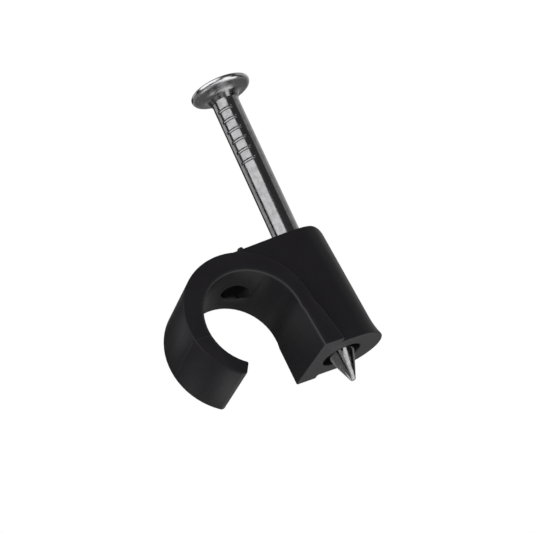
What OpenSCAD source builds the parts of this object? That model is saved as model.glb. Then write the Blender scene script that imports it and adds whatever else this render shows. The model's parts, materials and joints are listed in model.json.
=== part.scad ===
// Nail-in clip for a round cable: a moulded hook with a boss, and a steel nail through the boss.
// Millimetres. The foot lies on Z = 0 and the nail crosses it at the origin. The cable runs along Y.

/* [Cable channel] */
// Diameter of the channel, a little under the cable's
channel_d = 6.9; // [5:0.1:9]
// Distance from the nail to the channel's straight wall, at the foot
nail_to_channel = 2.55; // [2.2:0.05:3.5]
// How far the hook wraps round the cable, from the leg over the crown to the tip
wrap_angle = 236; // [210:1:245]

/* [Hook] */
// Width of the hook along the cable
hook_w = 5.4; // [4.8:0.1:7]
// Wall over the cable
crown_t = 1.5; // [1.3:0.05:2.2]
// Wall on the outer side of the cable
arm_t = 1.3; // [1:0.05:1.8]
// Wall between the cable and the boss, at the height of the cable
leg_t = 1.1; // [0.8:0.05:1.5]
// Thickness of the leg at the foot
leg_foot_t = 1.6; // [1.3:0.05:2]
// Corner radius on the outer edge of the hook's tip
tip_r = 0.3; // [0.1:0.05:0.4]

/* [Foot] */
// Height of the mould's parting line, below which the leg widens
parting_z = 3.25; // [2.2:0.05:3.4]
// Step out at each end of the leg, just under the parting line
parting_step = 0.14; // [0.05:0.01:0.2]
// Height over which that step comes in
parting_step_h = 0.4; // [0.2:0.05:0.8]
// How far each end of the leg stands out at the foot
leg_spread = 0.32; // [0.22:0.01:0.5]

/* [Boss] */
// Width of the boss along the cable
boss_w = 4.55; // [4:0.05:4.8]
// Distance from the nail to the end of the nose, at the foot
nose_l = 3; // [2.6:0.05:4]
// How far the boss stands over the crown, at the nail
boss_rise = 0.5; // [0.3:0.05:1.2]
// Radius of the shoulder where the boss's top falls to the nose
nose_r = 1.5; // [0.8:0.1:2]
// How far the boss flares out at the foot
flare = 0.2; // [0.1:0.05:0.4]
// Height of that flare
flare_h = 1.5; // [1:0.1:2.5]

/* [Nail] */
// Diameter of the shank
nail_d = 2; // [1.6:0.05:2.2]
// Length from the top of the head to the tip
nail_l = 24; // [20:0.5:32]
// Diameter of the head
head_d = 4.5; // [3.6:0.1:5]
// Thickness of the head's rim
head_t = 0.45; // [0.4:0.05:0.8]
// Height of the hollow cone under the head
neck_h = 1.05; // [1:0.05:1.3]
// Width of the steep part of that cone, next to the shank
neck_w = 0.22; // [0.1:0.02:0.4]
// Height of that steep part
neck_steep_h = 0.8; // [0.5:0.05:0.9]
// Chamfer round the head's rim
rim_chamfer = 0.15; // [0.05:0.01:0.18]
// Length of the point
point_l = 2.1; // [1.6:0.1:4]
// Width of the blunt end of the point
point_flat = 0.35; // [0.1:0.05:0.5]
// How far the tip stands out of the foot
point_out = 1.95; // [1:0.05:3]
// How far the nail leans out of the upright, in degrees
nail_lean = 4; // [0:0.5:5]
// Direction in which it leans, in degrees from straight away from the hook
lean_turn = -53; // [-90:1:90]

/* [Grip marks] */
// Grip marks on each side of the shank
mark_count = 6; // [3:1:8]
// Distance from one mark to the next
mark_pitch = 0.88; // [0.7:0.02:1.2]
// Distance from the head's top to the first mark
mark_start = 2.05; // [1.8:0.05:2.8]
// Depth of a mark
mark_depth = 0.12; // [0.04:0.01:0.16]
// Radius of the tooth that presses a mark
mark_r = 0.22; // [0.18:0.01:0.3]
// Turn of the marks about the nail
mark_turn = 47; // [0:1:89]

/* [Nail hole] */
// Clearance all round the nail
hole_clear = 0.02; // [0.01:0.005:0.05]
// Diameter of the recess in the foot, round the point
recess_d = 2.8; // [2.5:0.05:3.2]
// Depth of that recess
recess_h = 1.2; // [0.5:0.1:2]

/* [Moulding marks] */
// Diameter of the round pocket in the channel's roof, where it opens
pocket_d = 1.7; // [1.5:0.1:2.4]
// Diameter of the pocket's floor
pocket_floor_d = 1; // [0.6:0.1:1.5]
// Depth of the pocket over the channel's crown
pocket_h = 0.8; // [0.4:0.05:1]
// Offset of the pocket from the channel's axis, towards the boss
pocket_x = 0.95; // [0.6:0.05:1.4]
// Offset of the pocket along the cable
pocket_y = 0.35; // [-0.8:0.05:0.8]
// Diameter of the gate's stub on top
gate_d = 0.45; // [0.3:0.05:0.7]
// Height of the gate's stub
gate_h = 0.3; // [0.1:0.01:0.4]
// Distance of the stub from the place where the top leaves the hook
gate_x = 2.35; // [1:0.05:2.8]
// Distance of the stub from the boss's edge
gate_edge = 0.3; // [0.25:0.05:0.8]

/* [Hidden] */
$fn = 96;
cut_over = 1;
plastic_black = [0.11, 0.11, 0.12];
zinc_grey = [0.72, 0.72, 0.73];

// The hook's outside is one circle, set off from the channel's so that each wall has its own thickness.
channel_r = channel_d / 2;
outer_r = channel_r + (arm_t + leg_t) / 2;
off_center = [(leg_t - arm_t) / 2, crown_t - (arm_t + leg_t) / 2];

// The tip's outer edge is rounded about a point seen here from the channel's axis.
tip_dir = [cos(wrap_angle), sin(wrap_angle)];
tip_in = [tip_dir.y, -tip_dir.x];
tip_shift = tip_r * tip_in - off_center;
tip_along = sqrt((tip_shift * tip_dir) ^ 2 - tip_shift * tip_shift + (outer_r - tip_r) ^ 2)
    - tip_shift * tip_dir;
tip_round = tip_r * tip_in + tip_along * tip_dir;

// That rounded edge is level with the foot, which sets the channel's height.
channel_c = [-nail_to_channel - channel_r, tip_r - tip_round.y];
outer_c = channel_c + off_center;
wall_x = -nail_to_channel;
leg_x = wall_x + leg_foot_t;
mouth_x = wall_x - channel_r / 2;

// The leg's outer edge and the boss's top both run off the hook as tangents.
boss_h = channel_c.y + channel_r + crown_t + boss_rise;
leg_tangent = tangent_point([leg_x, 0]);
top_tangent = tangent_point([0, boss_h]);
top_slope = (boss_h - top_tangent.y) / -top_tangent.x;
top_angle = atan(top_slope);

boss_r = boss_w / 2;
nose_c = nose_l - boss_r;
flare_r = (flare ^ 2 + flare_h ^ 2) / (2 * flare);
foot_w = hook_w + 2 * leg_spread;

nail_r = nail_d / 2;
tip_s = -point_out;
head_s = nail_l - point_out;

// Where the tangent from a point outside the hook touches its outer circle.
function tangent_point(p) =
    let (away = p - outer_c)
    let (turn = atan2(away.y, away.x) + acos(outer_r / norm(away)))
    outer_c + outer_r * [cos(turn), sin(turn)];

// Stands a profile drawn in X and Z up, and gives it a width along the cable.
module across(width) {
    rotate([90, 0, 0]) linear_extrude(width, center = true) children();
}

// Tips the upright nail, or its hole, over about the middle of the foot.
module leaning() {
    rotate([0, 0, lean_turn]) rotate([0, nail_lean, 0]) rotate([0, 0, -lean_turn]) children();
}

// The sliver between the tip's sharp corner and its rounding.
module tip_corner() {
    round_c = channel_c + tip_round;
    edge_dir = (round_c - outer_c) / norm(round_c - outer_c);
    beyond = channel_c + (tip_along + tip_r + cut_over) * tip_dir;
    difference() {
        polygon([
            round_c,
            channel_c + tip_along * tip_dir - tip_r * tip_in,
            beyond - tip_r * tip_in,
            beyond,
            outer_c + (outer_r + tip_r) * edge_dir,
        ]);
        translate(round_c) circle(tip_r);
    }
}

module hook() {
    reach = 2 * outer_r;
    across(hook_w) difference() {
        translate(outer_c) circle(outer_r);
        polygon([
            channel_c,
            channel_c + reach * tip_dir,
            channel_c + [reach * tip_dir.x, -reach],
            channel_c - [0, reach],
        ]);
        tip_corner();
    }
}

// The leg's ends are upright down to the parting line, step out there and spread to the foot.
module leg() {
    half = hook_w / 2;
    side = [
        [half + leg_spread, 0],
        [half + parting_step, parting_z - parting_step_h],
        [half, parting_z],
        [half, leg_tangent.y + cut_over],
    ];
    mirrored = [for (i = [len(side) - 1:-1:0]) [-side[i].x, side[i].y]];
    intersection() {
        across(foot_w + cut_over)
            polygon([[mouth_x, 0], [leg_x, 0], leg_tangent, [mouth_x, leg_tangent.y]]);
        translate([channel_c.x, 0, 0])
            rotate([90, 0, 90])
            linear_extrude(leg_x - channel_c.x + cut_over)
            polygon(concat(side, mirrored));
    }
}

// Half of the boss's section, from its middle plane to its flared side.
module boss_half_section() {
    difference() {
        square([boss_r + flare, boss_h + cut_over]);
        translate([boss_r + flare_r, flare_h]) circle(flare_r);
        translate([boss_r, flare_h]) square([flare + cut_over, boss_h + cut_over]);
    }
}

module boss() {
    shoulder = [nose_l - nose_r, boss_h - nose_r];
    intersection() {
        union() {
            translate([nose_c, 0, 0]) rotate_extrude() boss_half_section();
            translate([top_tangent.x, 0, 0]) rotate([90, 0, 90]) linear_extrude(nose_c - top_tangent.x) {
                boss_half_section();
                mirror([1, 0]) boss_half_section();
            }
        }
        across(boss_w + 2 * flare + cut_over) union() {
            polygon([
                [mouth_x, 0], [nose_l + flare, 0], [nose_l + flare, shoulder.y], shoulder,
                [shoulder.x, boss_h], [0, boss_h], top_tangent, channel_c,
            ]);
            translate(shoulder) circle(nose_r);
        }
    }
}

// The channel, and below it the straight way in along the leg.
module cable_path() {
    across(foot_w + cut_over) {
        translate(channel_c) circle(channel_r);
        translate([channel_c.x, -cut_over]) square([channel_r, channel_c.y + cut_over]);
    }
}

module gate_stub() {
    gate = [top_tangent.x + gate_x, gate_edge + gate_d / 2 - boss_r];
    translate([gate.x, gate.y, boss_h + top_slope * gate.x])
        rotate([0, -top_angle, 0])
        translate([0, 0, -gate_h])
        cylinder(d = gate_d, h = 2 * gate_h);
}

// The pocket narrows upwards. Its cutter starts as far below the crown as its floor lies above it.
module roof_pocket() {
    translate([channel_c.x + pocket_x, pocket_y, channel_c.y + channel_r - pocket_h])
        cylinder(d1 = 2 * pocket_d - pocket_floor_d, d2 = pocket_floor_d, h = 2 * pocket_h);
}

module clip_body() {
    color(plastic_black) difference() {
        union() {
            hook();
            leg();
            boss();
            gate_stub();
        }
        cable_path();
        leaning()
            translate([0, 0, -nail_d])
            cylinder(r = nail_r + hole_clear, h = boss_h + 2 * nail_d);
        translate([0, 0, -cut_over]) cylinder(d = recess_d, h = recess_h + cut_over);
        roof_pocket();
    }
}

module nail_blank() {
    head_r = head_d / 2;
    rotate_extrude() polygon([
        [0, tip_s], [point_flat / 2, tip_s], [nail_r, tip_s + point_l],
        [nail_r, head_s - head_t - neck_h],
        [nail_r + neck_w, head_s - head_t - neck_h + neck_steep_h],
        [head_r - rim_chamfer, head_s - head_t],
        [head_r, head_s - head_t + rim_chamfer],
        [head_r, head_s - rim_chamfer],
        [head_r - rim_chamfer, head_s],
        [0, head_s],
    ]);
}

module grip_marks() {
    for (i = [0:mark_count - 1], side = [0, 180])
        rotate([0, 0, mark_turn + side])
            translate([nail_r + mark_r - mark_depth, 0, head_s - mark_start - i * mark_pitch])
            rotate([90, 0, 0])
            cylinder(r = mark_r, h = 2 * nail_d, center = true);
}

module nail() {
    color(zinc_grey) leaning() difference() {
        nail_blank();
        grip_marks();
    }
}

clip_body();
nail();
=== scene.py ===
# %% [markdown]
# A nail-in cable clip is a small black moulding with a steel nail through its boss. The solids come from
# CAD and are already true to size, so Blender's work here is the finish: softened edges, a satin moulded
# skin, drawn and plated steel, and the light that shows them. Everything is in metres in the CAD frame.

import json
import math

import bmesh
import bpy
from mathutils import Matrix, Quaternion, Vector

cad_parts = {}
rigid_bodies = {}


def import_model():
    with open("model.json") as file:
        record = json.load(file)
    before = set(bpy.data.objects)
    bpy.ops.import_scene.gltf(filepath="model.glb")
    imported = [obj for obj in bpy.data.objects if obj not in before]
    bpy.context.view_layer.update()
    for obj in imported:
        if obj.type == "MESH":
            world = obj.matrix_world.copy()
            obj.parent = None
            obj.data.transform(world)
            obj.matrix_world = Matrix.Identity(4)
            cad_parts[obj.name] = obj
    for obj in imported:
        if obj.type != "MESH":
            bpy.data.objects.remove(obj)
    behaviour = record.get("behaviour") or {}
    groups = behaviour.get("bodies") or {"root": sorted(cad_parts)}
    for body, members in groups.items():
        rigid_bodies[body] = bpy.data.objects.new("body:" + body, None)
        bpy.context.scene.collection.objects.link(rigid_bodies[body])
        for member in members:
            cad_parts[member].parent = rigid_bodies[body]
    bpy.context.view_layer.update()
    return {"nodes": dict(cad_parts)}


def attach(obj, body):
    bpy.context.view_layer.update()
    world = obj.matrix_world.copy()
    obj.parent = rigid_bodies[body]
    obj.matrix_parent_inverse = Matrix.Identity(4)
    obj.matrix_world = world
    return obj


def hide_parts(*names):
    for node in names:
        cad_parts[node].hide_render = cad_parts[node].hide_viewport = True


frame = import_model()
scene = bpy.context.scene
scene.view_settings.view_transform = "Standard"
MM = 0.001

# %% [markdown]
# The camera stands low on the hook's side and looks up into the channel, close to the clip and turned on
# its side a little. A long lens from a hand's width away gives the gentle perspective of a product photo.
# Its place, aim and roll are written as plain numbers, because nothing about them depends on the model.

# %% Camera
CAMERA_AT = Vector((-46.209, -76.613, -25.597)) * MM
CAMERA_AIM = Vector((-2.684, -1.311, 7.330)) * MM
CAMERA_ROLL = math.radians(28.233)

lens = bpy.data.cameras.new("photo_camera")
lens.sensor_width = 36.0
lens.lens = 92.02
lens.clip_start = 0.005
lens.clip_end = 10.0
camera = bpy.data.objects.new("photo_camera", lens)
scene.collection.objects.link(camera)
camera.location = CAMERA_AT
camera.rotation_mode = "QUATERNION"
towards = (CAMERA_AIM - CAMERA_AT).to_track_quat("-Z", "Y")
camera.rotation_quaternion = towards @ Quaternion((0, 0, 1), -CAMERA_ROLL)
scene.camera = camera
print(f"camera {CAMERA_AT.length / MM:.0f} mm from the nail, lens {lens.lens:.0f} mm")

# %% [markdown]
# A shader tree is easier to read as arithmetic than as boxes and wires. `Wire` holds one output socket, and
# adding or multiplying wires adds the Math nodes. `Finish` owns a tree and makes every other node with one
# method: the type of node, its settings, then its inputs.


# %% Shader arithmetic
class Wire:
    """One value in a shader tree. Sums and products of wires become Math nodes."""

    def __init__(self, finish, socket):
        self.finish = finish
        self.socket = socket

    def math(self, operation, first, second):
        return self.finish.node("ShaderNodeMath", {"operation": operation}, {0: first, 1: second})

    def __add__(self, other):
        return self.math("ADD", self, other)

    def __radd__(self, other):
        return self.math("ADD", other, self)

    def __sub__(self, other):
        return self.math("SUBTRACT", self, other)

    def __rsub__(self, other):
        return self.math("SUBTRACT", other, self)

    def __mul__(self, other):
        return self.math("MULTIPLY", self, other)

    def __rmul__(self, other):
        return self.math("MULTIPLY", other, self)

    def __pow__(self, other):
        return self.math("POWER", self, other)


class Finish:
    """A shader tree, with one method that adds any node."""

    def __init__(self, tree):
        self.tree = tree
        self.tree.nodes.clear()

    def plug(self, value, socket):
        if isinstance(value, Wire):
            self.tree.links.new(value.socket, socket)
        else:
            socket.default_value = value

    def node(self, kind, settings=None, inputs=None, output=0):
        made = self.tree.nodes.new(kind)
        for name, value in (settings or {}).items():
            if name == "stops":
                for stop, (place, grey) in zip(made.color_ramp.elements, value):
                    stop.position = place
                    stop.color = (grey, grey, grey, 1.0)
            else:
                setattr(made, name, value)
        for name, value in (inputs or {}).items():
            self.plug(value, made.inputs[name])
        return Wire(self, made.outputs[output]) if len(made.outputs) else None


print("shader arithmetic ready")

# %% [markdown]
# Both finishes are built from the same three moves: a value that rises between two places, a soft line, and
# one colour that takes over from another. They are written once here and read by name further down.


# %% Shader moves
def blend(value, start, end, top=1.0):
    """Rises from 0 to top while a value goes from start to end."""
    return value.finish.node("ShaderNodeMapRange", inputs={
        "Value": value, "From Min": start, "From Max": end, "To Min": 0.0, "To Max": top})


def ridge(distance, width):
    """A soft line: 1 at distance 0, and nearly 0 two widths away."""
    steps = distance * (1 / width)
    return (steps * steps + 1.0) ** -2.0


def takeover(share, usual, instead):
    """The usual colour where share is 0, and the other one where it is 1."""
    return share.finish.node("ShaderNodeMix", {"data_type": "RGBA"}, {0: share, 6: usual, 7: instead}, output=2)


def new_material(name):
    """An empty material, and the tree to build it in."""
    material = bpy.data.materials.new(name)
    material.use_nodes = True
    return material, Finish(material.node_tree)


print("shader moves ready")

# %% [markdown]
# Every shape below is drawn as a bmesh, and one function turns it into an object at the origin with its
# material. Directions round the clip are compass angles in degrees, counted from the X axis.


# %% Shape helpers
def finish_mesh(name, bm, material, smooth=True):
    """Turns a bmesh into an object at the origin with one material."""
    for face in bm.faces:
        face.smooth = smooth
    mesh = bpy.data.meshes.new(name)
    bm.to_mesh(mesh)
    bm.free()
    mesh.materials.append(material)
    made = bpy.data.objects.new(name, mesh)
    scene.collection.objects.link(made)
    return made


def compass(angle):
    """A level direction of length 1."""
    turn = math.radians(angle)
    return Vector((math.cos(turn), math.sin(turn), 0.0))


def around(angle, height, distance):
    """A point at a compass angle, a height and a distance in metres."""
    return compass(angle) * distance + Vector((0.0, 0.0, height))


print("shape helpers ready")

# %% [markdown]
# The clip is shown cut out on white, so the world is white to the camera and to mirror-like rays. For soft
# light it is dimmer, about the level at which a colour renders as it is written. The floor is a pale
# sheet well below the clip, because a clip like this is held by a wall and the camera looks up at it.

# %% World and floor
WORLD_FILL = 0.70
WHITE = (1.0, 1.0, 1.0, 1.0)
FLOOR_Z = -60 * MM
FLOOR_HALF = 1.5
FLOOR_GREY = 0.8

world = bpy.data.worlds.new("white_studio")
world.use_nodes = True
scene.world = world
sky = Finish(world.node_tree)
seen, mirrored, through = [sky.node("ShaderNodeLightPath", output=name)
                           for name in ("Is Camera Ray", "Is Glossy Ray", "Is Transmission Ray")]
shown = seen.math("MAXIMUM", seen.math("MAXIMUM", seen, mirrored), through)
fill = sky.node("ShaderNodeBackground", inputs={"Color": WHITE, "Strength": WORLD_FILL})
white = sky.node("ShaderNodeBackground", inputs={"Color": WHITE, "Strength": 1.0})
mixed = sky.node("ShaderNodeMixShader", inputs={0: shown, 1: fill, 2: white})
sky.node("ShaderNodeOutputWorld", inputs={"Surface": mixed})

pale, paint = new_material("pale_floor")
paper = paint.node("ShaderNodeBsdfDiffuse", inputs={"Color": (FLOOR_GREY, FLOOR_GREY, FLOOR_GREY, 1)})
paint.node("ShaderNodeOutputMaterial", inputs={"Surface": paper})
bm = bmesh.new()
bmesh.ops.create_grid(bm, x_segments=1, y_segments=1, size=FLOOR_HALF,
                      matrix=Matrix.Translation((0, 0, FLOOR_Z)))
floor = finish_mesh("floor", bm, pale, smooth=False)
print(f"floor {-FLOOR_Z / MM:.0f} mm below the foot")

# %% [markdown]
# Round bright metal shows the room more than itself. The nail in the photo has one broad light band, a
# broad dark one beside it and grey rims. So a grey tent stands all round the clip, with black cards where
# the metal goes dark and white ones where its rims, its head's underside and its point flash. The cards
# are only there for reflections: the camera doesn't see them, and they neither light the clip nor shade it.

# %% Cards for the metal to mirror
TENT_R, TENT_H = 0.5, 0.6
TENT_FOOT = 0.045
SKIRT_IN = 0.07
IN_FRONT, FURTHER_IN = TENT_R - 0.02, TENT_R - 0.03
CARD_TOP = 0.55
ON_FLOOR = [FLOOR_Z + layer * MM for layer in range(5)]
CARD_STEPS = 24
# Name, first and last compass angle, the (height, distance) of both edges, and the grey that shows.
CARDS = (
    ("tent_wall", 0, 360, (TENT_FOOT, TENT_R), (TENT_H, TENT_R), 0.27),
    ("tent_base", 0, 360, (FLOOR_Z, TENT_R), (TENT_FOOT, TENT_R), 0.24),
    ("tent_lid", 0, 360, (TENT_H, 0.001), (TENT_H, TENT_R), 0.10),
    ("tent_skirt", 0, 360, (ON_FLOOR[1], SKIRT_IN), (ON_FLOOR[1], TENT_R), 0.12),
    ("left_shade", 208, 225, (ON_FLOOR[2], SKIRT_IN), (ON_FLOOR[2], TENT_R), 0.0),
    ("left_glow", 225, 250, (ON_FLOOR[2], SKIRT_IN), (ON_FLOOR[2], TENT_R), 0.26),
    ("middle_shade", 250, 270, (ON_FLOOR[2], SKIRT_IN), (ON_FLOOR[2], TENT_R), 0.0),
    ("low_reflector", 270, 297, (ON_FLOOR[2], SKIRT_IN), (ON_FLOOR[2], TENT_R), 1.0),
    ("right_shade", 297, 358, (ON_FLOOR[2], SKIRT_IN), (ON_FLOOR[2], TENT_R), 0.0),
    ("tip_reflector", 118, 160, (-0.008, 0.010), (-0.008, 0.023), 0.9),
    ("edge_reflector", 285, 355, (ON_FLOOR[3], 0.02), (ON_FLOOR[3], 0.07), 1.0),
    ("head_reflector", 250, 345, (ON_FLOOR[4], 0.045), (ON_FLOOR[4], 0.105), 1.0),
    ("dark_room", 257, 322, (FLOOR_Z, IN_FRONT), (CARD_TOP, IN_FRONT), 0.045),
    ("dark_gap", 149, 171, (FLOOR_Z, IN_FRONT), (CARD_TOP, IN_FRONT), 0.0),
    ("far_shade_low", 92, 149, (TENT_FOOT, IN_FRONT), (0.15, IN_FRONT), 0.03),
    ("far_shade_high", 92, 149, (0.26, IN_FRONT), (CARD_TOP, IN_FRONT), 0.03),
    ("far_shade_edge", 76, 112, (0.15, FURTHER_IN), (0.36, FURTHER_IN), 0.03),
    ("far_rim_strip", 112, 149, (0.19, FURTHER_IN), (0.40, FURTHER_IN), 0.48),
    ("right_rim_strip", 0, 50, (0.10, FURTHER_IN), (0.30, FURTHER_IN), 0.46),
)


def glow(name, grey):
    """A surface that shows an even grey in reflections, whatever light falls on it."""
    material, paint = new_material(name)
    surface = paint.node("ShaderNodeEmission", inputs={"Color": (grey, grey, grey, 1), "Strength": 1.0})
    paint.node("ShaderNodeOutputMaterial", inputs={"Surface": surface})
    return material


for name, start, end, first, second, grey in CARDS:
    bm = bmesh.new()
    corners = [bm.verts.new(around(start, *corner)) for corner in (first, second)]
    side = bm.edges.new(corners)
    bmesh.ops.spin(bm, geom=corners + [side], cent=(0, 0, 0), axis=(0, 0, 1), steps=CARD_STEPS,
                   angle=math.radians(end - start), use_merge=end - start >= 360)
    card = finish_mesh(name, bm, glow(name, grey))
    card.visible_camera = False
    card.visible_diffuse = False
    card.visible_shadow = False
    card.visible_transmission = False
print(len(CARDS), "cards round the clip")

# %% [markdown]
# One big soft box on the hook's side is the main light, and its mirror image is the broad light band along
# the nail, which the roll turns until it follows the nail. Black plastic needs more light than bright
# metal can stand. So a second lamp in the same place adds to the soft light only and isn't mirrored.

# %% Soft box
OBJECT_MIDDLE = Vector((-1.0, 0.0, 8.0)) * MM
BOX_ANGLE, BOX_HEIGHT, BOX_DISTANCE = 214, 0.11, 0.40
BOX_W, BOX_H = 0.70, 0.55
BOX_ROLL = math.radians(-18)
BOX_RADIANCE = 0.76


def soft_box(name):
    """An area lamp that faces the clip. Radiance is how bright its face looks, with white at 1."""
    lamp = bpy.data.lights.new(name, "AREA")
    lamp.shape = "RECTANGLE"
    lamp.size, lamp.size_y = BOX_W, BOX_H
    lamp.energy = math.pi * BOX_W * BOX_H * BOX_RADIANCE
    box = bpy.data.objects.new(name, lamp)
    scene.collection.objects.link(box)
    box.location = around(BOX_ANGLE, BOX_HEIGHT, BOX_DISTANCE)
    box.rotation_mode = "QUATERNION"
    facing = (OBJECT_MIDDLE - box.location).to_track_quat("-Z", "Y")
    box.rotation_quaternion = facing @ Quaternion((0, 0, 1), BOX_ROLL)
    box.visible_camera = False
    return box


soft_box("side_box")
side_fill = soft_box("side_fill")
side_fill.visible_glossy = False
print(f"soft box of {BOX_W} by {BOX_H} m, {BOX_DISTANCE} m from the clip")

# %% [markdown]
# The clip is black polyethylene straight from the mould: satin, a touch waxy, with fine grain from the
# tool's skin and slow flow marks that change the gloss a little. A thin raised line shows where the two
# halves of the mould met. The foot is paler, partly from a scuffed matt finish and partly as painted light
# standing in for light bouncing up from below. A pale line along the rim of the channel is a painted
# highlight, and the pocket that a pin left in the roof is matt and painted near black as painted shade.
# All of it sits on Object coordinates, so each mark keeps its place.

# %% Black moulded plastic
FLOW_SCALE, GRAIN_SCALE = 330.0, 9000.0
PARTING_Z, PARTING_W = 3.25 * MM, 0.035 * MM
PARTING_FROM, PARTING_FULL = -5.0 * MM, -6.0 * MM
FOOT_FROM, FOOT_FULL = 0.09 * MM, 0.01 * MM
CHANNEL_X, CHANNEL_Z, CHANNEL_R = -6.0 * MM, 3.578 * MM, 3.45 * MM
CHANNEL_UP = 10 * MM
HOOK_END, STEP_Z = 2.7 * MM, 2.85 * MM
STEP_OUT, FLARE_OUT = 0.14 * MM, 0.18 * MM
RIM_W = 0.10 * MM
PIN_X, PIN_Y, PIN_R, PIN_END = -5.05 * MM, 0.35 * MM, 0.93 * MM, 7.83 * MM
POCKET_FROM, POCKET_FULL, POCKET_SOFT = 0.02 * MM, 0.20 * MM, 0.05 * MM
DARK_TONE, LIGHT_TONE = (0.0095, 0.0083, 0.0101, 1), (0.0138, 0.0124, 0.0145, 1)
# The foot's pale tone is partly a scuffed matt finish and partly painted light, standing in for light bouncing
# up from below.
FOOT_SCUFF_AND_LIGHT_TONE, RIM_HIGHLIGHT_TONE = (0.058, 0.056, 0.059, 1), (0.060, 0.059, 0.061, 1)
# The pin pocket's near-black tone is painted shade, standing in for the shadow deep inside the pocket.
POCKET_SHADE_TONE = (0.0012, 0.0011, 0.0013, 1)
RELIEF = 0.02 * MM

plastic, paint = new_material("black_moulded_plastic")
place = paint.node("ShaderNodeTexCoord", output="Object")
flow = paint.node("ShaderNodeTexNoise", inputs={
    "Vector": place, "Scale": FLOW_SCALE, "Detail": 3.0, "Roughness": 0.55})
grain = paint.node("ShaderNodeTexNoise", inputs={"Vector": place, "Scale": GRAIN_SCALE, "Detail": 2.0})
across, along, height = [paint.node("ShaderNodeSeparateXYZ", inputs={0: place}, output=i) for i in range(3)]

line = blend(across, PARTING_FROM, PARTING_FULL) * ridge(height - PARTING_Z, PARTING_W)
# Mask for the foot face: its scuffed matt finish, and the painted light from below.
foot_scuff_and_light = blend(height, FOOT_FROM, FOOT_FULL)

out = across - CHANNEL_X
up = blend(height, CHANNEL_Z, CHANNEL_Z + CHANNEL_UP, CHANNEL_UP)
to_wall = (out * out + up * up) ** 0.5 - CHANNEL_R
end_y = HOOK_END + blend(height, PARTING_Z, STEP_Z, STEP_OUT) + blend(height, STEP_Z, 0.0, FLARE_OUT)
to_end = along.math("ABSOLUTE", along, 0.0) - end_y
# Along the channel's rim: a slight raised ridge in the bump, and a pale tone that is a painted highlight.
rim_ridge_and_highlight = ridge(to_wall, RIM_W) * ridge(to_end, RIM_W)

pin_across, pin_along = across - PIN_X, along - PIN_Y
from_pin = (pin_across * pin_across + pin_along * pin_along) ** 0.5
# Mask for the painted shade in the pin pocket; it also makes the pocket matt.
matt_pocket_shade = (blend(to_wall, POCKET_FROM, POCKET_FULL)
          * blend(from_pin, PIN_R + POCKET_SOFT, PIN_R - POCKET_SOFT)
          * blend(height, PIN_END + 4 * POCKET_SOFT, PIN_END + 2 * POCKET_SOFT))

tone = takeover(flow, DARK_TONE, LIGHT_TONE)
# Painted light on the foot face, over its scuffed matt finish.
tone = takeover(foot_scuff_and_light, tone, FOOT_SCUFF_AND_LIGHT_TONE)
# Painted highlight: a pale line along the rim of the channel.
tone = takeover(rim_ridge_and_highlight, tone, RIM_HIGHLIGHT_TONE)
# Painted shade: the pin pocket is painted near black.
tone = takeover(matt_pocket_shade, tone, POCKET_SHADE_TONE)
roughness = 0.28 + flow * 0.12 + grain * 0.06 + foot_scuff_and_light * 0.2 + matt_pocket_shade * 0.5
relief = paint.node("ShaderNodeBump", inputs={
    "Strength": 1.0, "Distance": RELIEF, "Height": line + rim_ridge_and_highlight + grain * 0.16 + flow * 0.12})
skin = paint.node("ShaderNodeBsdfPrincipled", inputs={
    "Base Color": tone, "Roughness": roughness, "IOR": 1.51, "Specular IOR Level": 0.27, "Normal": relief})
paint.node("ShaderNodeOutputMaterial", inputs={"Surface": skin})
print(f"plastic: parting line at {PARTING_Z / MM} mm, pocket up to {PIN_END / MM} mm")

# %% [markdown]
# CAD leaves every edge knife sharp, and no mould does. A copy of the CAD mesh is merged into one skin, its
# flat facets are joined, and a bevel rounds each sharp edge by about a tenth of a millimetre, which is
# what catches the thin light lines along the hook. The form itself stays exactly the CAD's. On the crown
# the boss's side wall runs out to a feather edge that is thinner than the rounding. So each sharp edge gets
# a bevel weight, and along that wall the weight fades to nothing before the wall does.

# %% Clip body with soft edges
EDGE_ROUND = 0.11 * MM
SHARP_ANGLE = math.radians(28)
FLAT_ANGLE = math.radians(0.4)
TOUCHING = 1e-6
WALL_Y, WALL_Y_NEAR = 2.275 * MM, 0.02 * MM
WALL_FOOT_Z, WALL_TOP_Z = 7.9 * MM, 8.0 * MM
WALL_TOP_L = 4.0 * MM
FEATHER_X, FADE_L = -5.9 * MM, 1.3 * MM
FADE_CUTS = [x * MM for x in (-4.6, -4.9, -5.2, -5.5, -5.9)]

bm = bmesh.new()
bm.from_mesh(frame["nodes"]["clip_body"].data)
bmesh.ops.remove_doubles(bm, verts=bm.verts, dist=TOUCHING)
bmesh.ops.dissolve_limit(bm, angle_limit=FLAT_ANGLE, verts=bm.verts, edges=bm.edges)
wall_tops = [edge for edge in bm.edges if abs(edge.verts[0].co.x - edge.verts[1].co.x) > WALL_TOP_L
             and min(vert.co.z for vert in edge.verts) > WALL_TOP_Z]
for edge in wall_tops:
    low = min(edge.verts, key=lambda vert: vert.co.x)
    for cut_x in FADE_CUTS:
        high = edge.other_vert(low)
        share = (high.co.x - cut_x) / (high.co.x - low.co.x)
        corner = bmesh.utils.edge_split(edge, high, share)[1]
        edge = next(part for part in corner.link_edges if low in part.verts)

weights = bm.edges.layers.float.new("bevel_weight_edge")
bm.normal_update()
for edge in bm.edges:
    if edge.calc_face_angle(0) <= SHARP_ANGLE:
        continue
    middle = (edge.verts[0].co + edge.verts[1].co) / 2
    by_wall = abs(abs(middle.y) - WALL_Y) < WALL_Y_NEAR and middle.z > WALL_FOOT_Z and middle.x < 0
    edge[weights] = min(1.0, max(0.0, (middle.x - FEATHER_X) / FADE_L)) if by_wall else 1.0
print("clip body:", len(bm.faces), "faces before rounding,", len(wall_tops), "wall tops that fade out")

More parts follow.
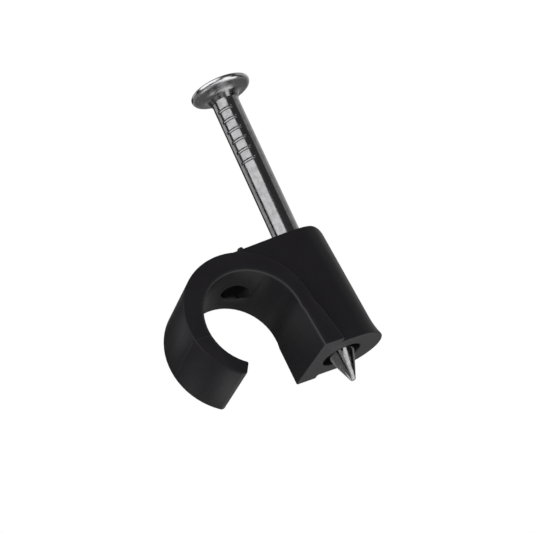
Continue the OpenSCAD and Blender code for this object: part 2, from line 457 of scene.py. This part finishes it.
body_skin = finish_mesh("clip_body_skin", bm, plastic)
soft = body_skin.modifiers.new("soft_edges", "BEVEL")
soft.width = EDGE_ROUND
soft.segments = 3
soft.profile = 0.5
soft.limit_method = "WEIGHT"
soft.harden_normals = True
soft.use_clamp_overlap = False
soft.miter_outer = "MITER_ARC"
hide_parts("clip_body")
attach(body_skin, "clip")

# %% [markdown]
# The nail is drawn wire with bright zinc on it. Drawing leaves fine lines along the shank, and the plating
# is a little mottled, so gloss and tone vary in streaks along the nail and in small spots. The forged
# underside of the head is duller, and its rim is rubbed bright. A Mapping node turns the pattern so that
# the streaks follow the nail, which leans.

# %% Zinc-plated wire
NAIL_LEAN = math.radians(4)
LEAN_TURN = math.radians(-53)
leaning = (Matrix.Rotation(LEAN_TURN, 4, "Z") @ Matrix.Rotation(NAIL_LEAN, 4, "Y")
           @ Matrix.Rotation(-LEAN_TURN, 4, "Z"))
upright = leaning.inverted().to_euler("XYZ")
STREAK_SCALE, SPOT_SCALE = 5200.0, 2600.0
LEVEL_ONLY, STRETCHED = (1.0, 1.0, 0.0), (1.0, 1.0, 0.035)
BRIGHT_TONE, DULL_TONE = (0.53, 0.53, 0.54, 1), (0.38, 0.38, 0.39, 1)
RUBBED_TONE = (0.92, 0.92, 0.93, 1)
FORGED_FROM, FORGED_FULL = 20.6 * MM, 21.4 * MM
RUBBED_FROM, RUBBED_FULL = 2.06 * MM, 2.18 * MM
WIRE_RELIEF = 0.007 * MM

zinc, paint = new_material("zinc_plated_wire")
place = paint.node("ShaderNodeTexCoord", output="Object")
turned = paint.node("ShaderNodeMapping", {"vector_type": "POINT"}, {"Vector": place, "Rotation": upright})
drawn = paint.node("ShaderNodeVectorMath", {"operation": "MULTIPLY"}, {0: turned, 1: STRETCHED})
level = paint.node("ShaderNodeVectorMath", {"operation": "MULTIPLY"}, {0: turned, 1: LEVEL_ONLY})
streak = paint.node("ShaderNodeTexNoise", inputs={"Vector": drawn, "Scale": STREAK_SCALE, "Detail": 3.0})
spots = paint.node("ShaderNodeTexNoise", inputs={
    "Vector": turned, "Scale": SPOT_SCALE, "Detail": 4.0, "Roughness": 0.65})
worn = paint.node("ShaderNodeValToRGB", {"stops": [(0.42, 0.0), (0.68, 1.0)]}, {0: spots})
reach = paint.node("ShaderNodeSeparateXYZ", inputs={0: turned}, output=2)
from_axis = paint.node("ShaderNodeVectorMath", {"operation": "LENGTH"}, {0: level}, output=1)
forged = blend(reach, FORGED_FROM, FORGED_FULL)
rubbed = blend(from_axis, RUBBED_FROM, RUBBED_FULL)

tone = takeover(worn, BRIGHT_TONE, DULL_TONE)
tone = takeover(rubbed, tone, RUBBED_TONE)
roughness = 0.08 + streak * 0.10 + worn * 0.08 + forged * 0.14 - rubbed * 0.10
relief = paint.node("ShaderNodeBump", inputs={
    "Strength": 1.0, "Distance": WIRE_RELIEF, "Height": streak + spots})
metal = paint.node("ShaderNodeBsdfPrincipled", inputs={
    "Base Color": tone, "Metallic": 1.0, "Roughness": roughness, "Normal": relief})
paint.node("ShaderNodeOutputMaterial", inputs={"Surface": metal})
print("zinc: streaks turned by", [round(math.degrees(a), 2) for a in upright])

# %% [markdown]
# A nail is a lathe shape: one outline turned about its axis. The outline runs from the blunt tip up the
# point, the shank, the hollow neck and the rolled rim to the top of the head. The neck stays slim until it
# is above the rim of the hole at full drive, so that the nail can be driven home. The outline has close
# rings where the grip marks come, and each pair in it is a radius and a height in millimetres.

# %% Nail outline and spin
SHANK_R = 1.012
TIP_S, HEAD_S = -1.95, 22.05
HEAD_TOP = HEAD_S + 0.055
MARK_START, MARK_PITCH, MARK_COUNT = 2.05, 0.88, 6
RING_STEP, RINGS_BELOW, RINGS_ABOVE = 0.02, 0.5, 0.26
TURN_STEPS = 96
SEAM = 1e-7
POINT = [(0.0, TIP_S), (0.10, TIP_S + 0.008), (0.155, TIP_S + 0.035), (0.195, TIP_S + 0.09),
         (0.46, -1.22), (0.72, -0.56), (0.93, -0.03), (0.985, 0.14), (SHANK_R, 0.34)]
NECK = [(1.012, 20.45), (1.012, 20.70), (1.008, 20.795), (1.008, 20.835), (1.028, 20.89), (1.092, 21.02),
        (1.145, 21.16), (1.20, 21.295), (1.27, 21.41), (1.36, 21.49), (1.47, 21.55), (1.60, 21.585)]
HEAD = [(1.76, 21.605), (1.90, 21.62), (2.03, 21.645), (2.13, 21.68), (2.20, 21.73), (2.243, 21.785),
        (2.27, 21.845), (2.285, 21.91), (2.29, 21.975), (2.282, 22.03), (2.253, 22.07), (2.18, 22.095),
        (2.06, HEAD_TOP), (0.0, HEAD_TOP)]

marks = [HEAD_S - MARK_START - i * MARK_PITCH for i in range(MARK_COUNT)]
first_ring, last_ring = marks[-1] - RINGS_BELOW, marks[0] + RINGS_ABOVE
rings = int((last_ring - first_ring) / RING_STEP)
shank = [(SHANK_R, s) for s in (2.0, 4.0, 6.0, 8.0, 10.0, 12.0, 14.0)]
shank += [(SHANK_R, first_ring + i * RING_STEP) for i in range(rings + 1)]

bm = bmesh.new()
chain = [bm.verts.new((r * MM, 0.0, s * MM)) for r, s in POINT + shank + NECK + HEAD]
links = [bm.edges.new(pair) for pair in zip(chain, chain[1:])]
bmesh.ops.spin(bm, geom=chain + links, cent=(0, 0, 0), axis=(0, 0, 1), angle=2 * math.pi, steps=TURN_STEPS,
               use_merge=True)
bmesh.ops.remove_doubles(bm, verts=bm.verts, dist=SEAM)
bmesh.ops.recalc_face_normals(bm, faces=bm.faces)
print("nail:", len(bm.verts), "points after the spin")

# %% [markdown]
# The machine that heads the nail grips the wire between two toothed jaws. Each tooth presses a short groove
# across the shank and throws up a faint lip on both sides of it. Here the points of the close rings are
# pushed in for the groove and out for the lips, most where they faced a jaw and not at all to the side.

# %% Grip marks
MARK_TURN = 47
MARK_DEPTH, MARK_HALF = 0.05, 0.13
MARK_ENDS = math.cos(math.radians(44)), math.cos(math.radians(18))
LIP_H, LIP_AT, LIP_W = 0.004, 0.17, 0.05


def soft_step(value, start, end):
    """Rises smoothly from 0 to 1 while a value goes from start to end."""
    t = min(1.0, max(0.0, (value - start) / (end - start)))
    return t * t * (3.0 - 2.0 * t)


jaw = compass(MARK_TURN)
for vert in bm.verts:
    s = vert.co.z / MM
    if not first_ring < s < last_ring:
        continue
    away = min((s - mark for mark in marks), key=abs)
    groove = MARK_DEPTH * max(0.0, 1.0 - (away / MARK_HALF) ** 2)
    lip = LIP_H * math.exp(-((abs(away) - LIP_AT) / LIP_W) ** 2)
    outward = Vector((vert.co.x, vert.co.y, 0.0)).normalized()
    pressed = soft_step(abs(outward.dot(jaw)), *MARK_ENDS)
    vert.co += outward * (lip - groove) * pressed * MM
print("grip marks at", [round(s, 2) for s in marks], "mm up the nail")

# %% [markdown]
# The head is struck on the wire in one blow, and on a cheap nail it seldom lands square. In the photo it
# sits a few degrees off and a hair to one side. So above the neck each ring is tipped and slid a little,
# more and more towards the head. The whole nail then leans over into its hole.

# %% Head off square, then lean
HEAD_TILT = math.radians(4.8)
HEAD_SHIFT = Vector((0.857, -0.515, 0.0)) * 0.04 * MM
TILT_FROM, TILT_FULL, TILT_TURN = 20.6, HEAD_S - 0.5, 60
tilt_side = compass(TILT_TURN)

for vert in bm.verts:
    share = min(1.0, max(0.0, (vert.co.z / MM - TILT_FROM) / (TILT_FULL - TILT_FROM)))
    vert.co.z += share * share * math.tan(HEAD_TILT) * vert.co.dot(tilt_side)
    vert.co += share * HEAD_SHIFT
bmesh.ops.transform(bm, matrix=leaning, verts=bm.verts)
nail_skin = finish_mesh("nail_steel", bm, zinc)
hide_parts("nail")
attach(nail_skin, "nail")
print(f"nail: {len(nail_skin.data.polygons)} faces, head {math.degrees(HEAD_TILT):.1f} degrees off square")
